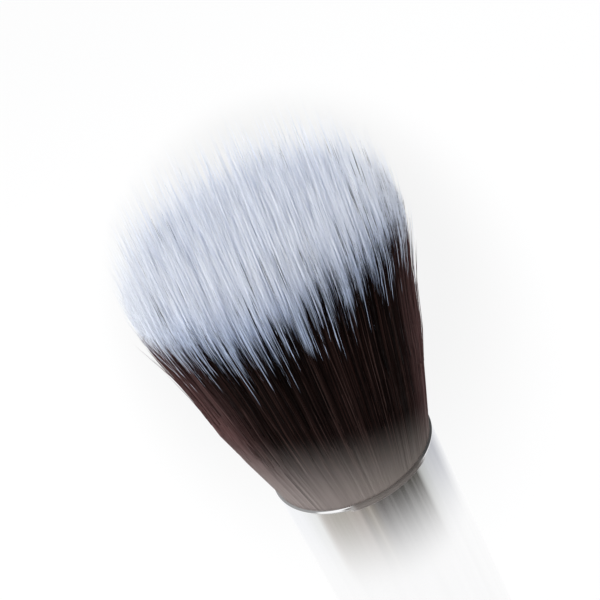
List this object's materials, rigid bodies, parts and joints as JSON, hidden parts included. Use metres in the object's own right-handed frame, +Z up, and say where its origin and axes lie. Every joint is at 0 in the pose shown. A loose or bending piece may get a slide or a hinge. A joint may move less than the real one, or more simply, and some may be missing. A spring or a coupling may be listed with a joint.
{
  "type": "stippling brush",
  "caption": "Make-up stippling brush: a flared round tuft of short dark and longer pale fibres in a polished metal ferrule, on a slim turned handle that stands on its flat foot.",
  "frame": {"origin": "centre of the flat face of the handle's foot", "axes": "+Z up along the brush, from the foot to the tuft; the tuft leans slightly towards +X"},
  "size_m": [0.0331, 0.0332, 0.1753],
  "materials": {
    "handle": "gloss lacquered",
    "ferrule": "polished",
    "glue": "set adhesive",
    "dark_fibres": "fine synthetic fibres with a soft sheen",
    "white_fibres": "fine synthetic fibres, dark at the root and white at the tip"
  },
  "bodies": {
    "root": {"handle": "handle", "ferrule": "ferrule", "glue_plug": "glue", "dark_fibres": "dark_fibres", "white_fibres": "white_fibres"}
  },
  "joints": []
}
